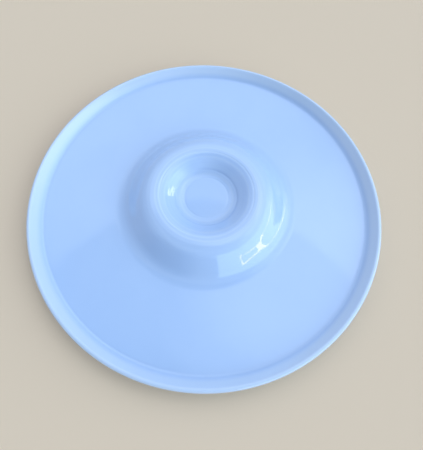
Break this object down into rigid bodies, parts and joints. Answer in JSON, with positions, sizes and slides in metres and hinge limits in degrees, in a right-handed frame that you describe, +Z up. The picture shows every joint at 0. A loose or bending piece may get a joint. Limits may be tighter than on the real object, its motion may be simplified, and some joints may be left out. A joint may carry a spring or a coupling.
{
  "type": "presentation plate",
  "caption": "Round glazed porcelain serving plate with a low raised ring and a smooth well at its centre, a broad level floor and a low rim with a rolled lip.",
  "frame": {"origin": "on the table, under the centre of the plate", "axes": "+Z up, along the plate's axis of revolution; +X and +Y are alike"},
  "size_m": [0.3, 0.3, 0.0275],
  "materials": {
    "glaze": "clear glossy glaze over cool white porcelain",
    "foot": "glazed sides with a ground, unglazed resting face"
  },
  "bodies": {
    "root": {"well_bottom": "glaze", "well_side": "glaze", "ring_crest": "glaze", "ring_flank": "glaze", "serving_floor": "glaze", "rim_band": "glaze", "lip": "glaze", "foot_ring": "foot"}
  },
  "joints": []
}
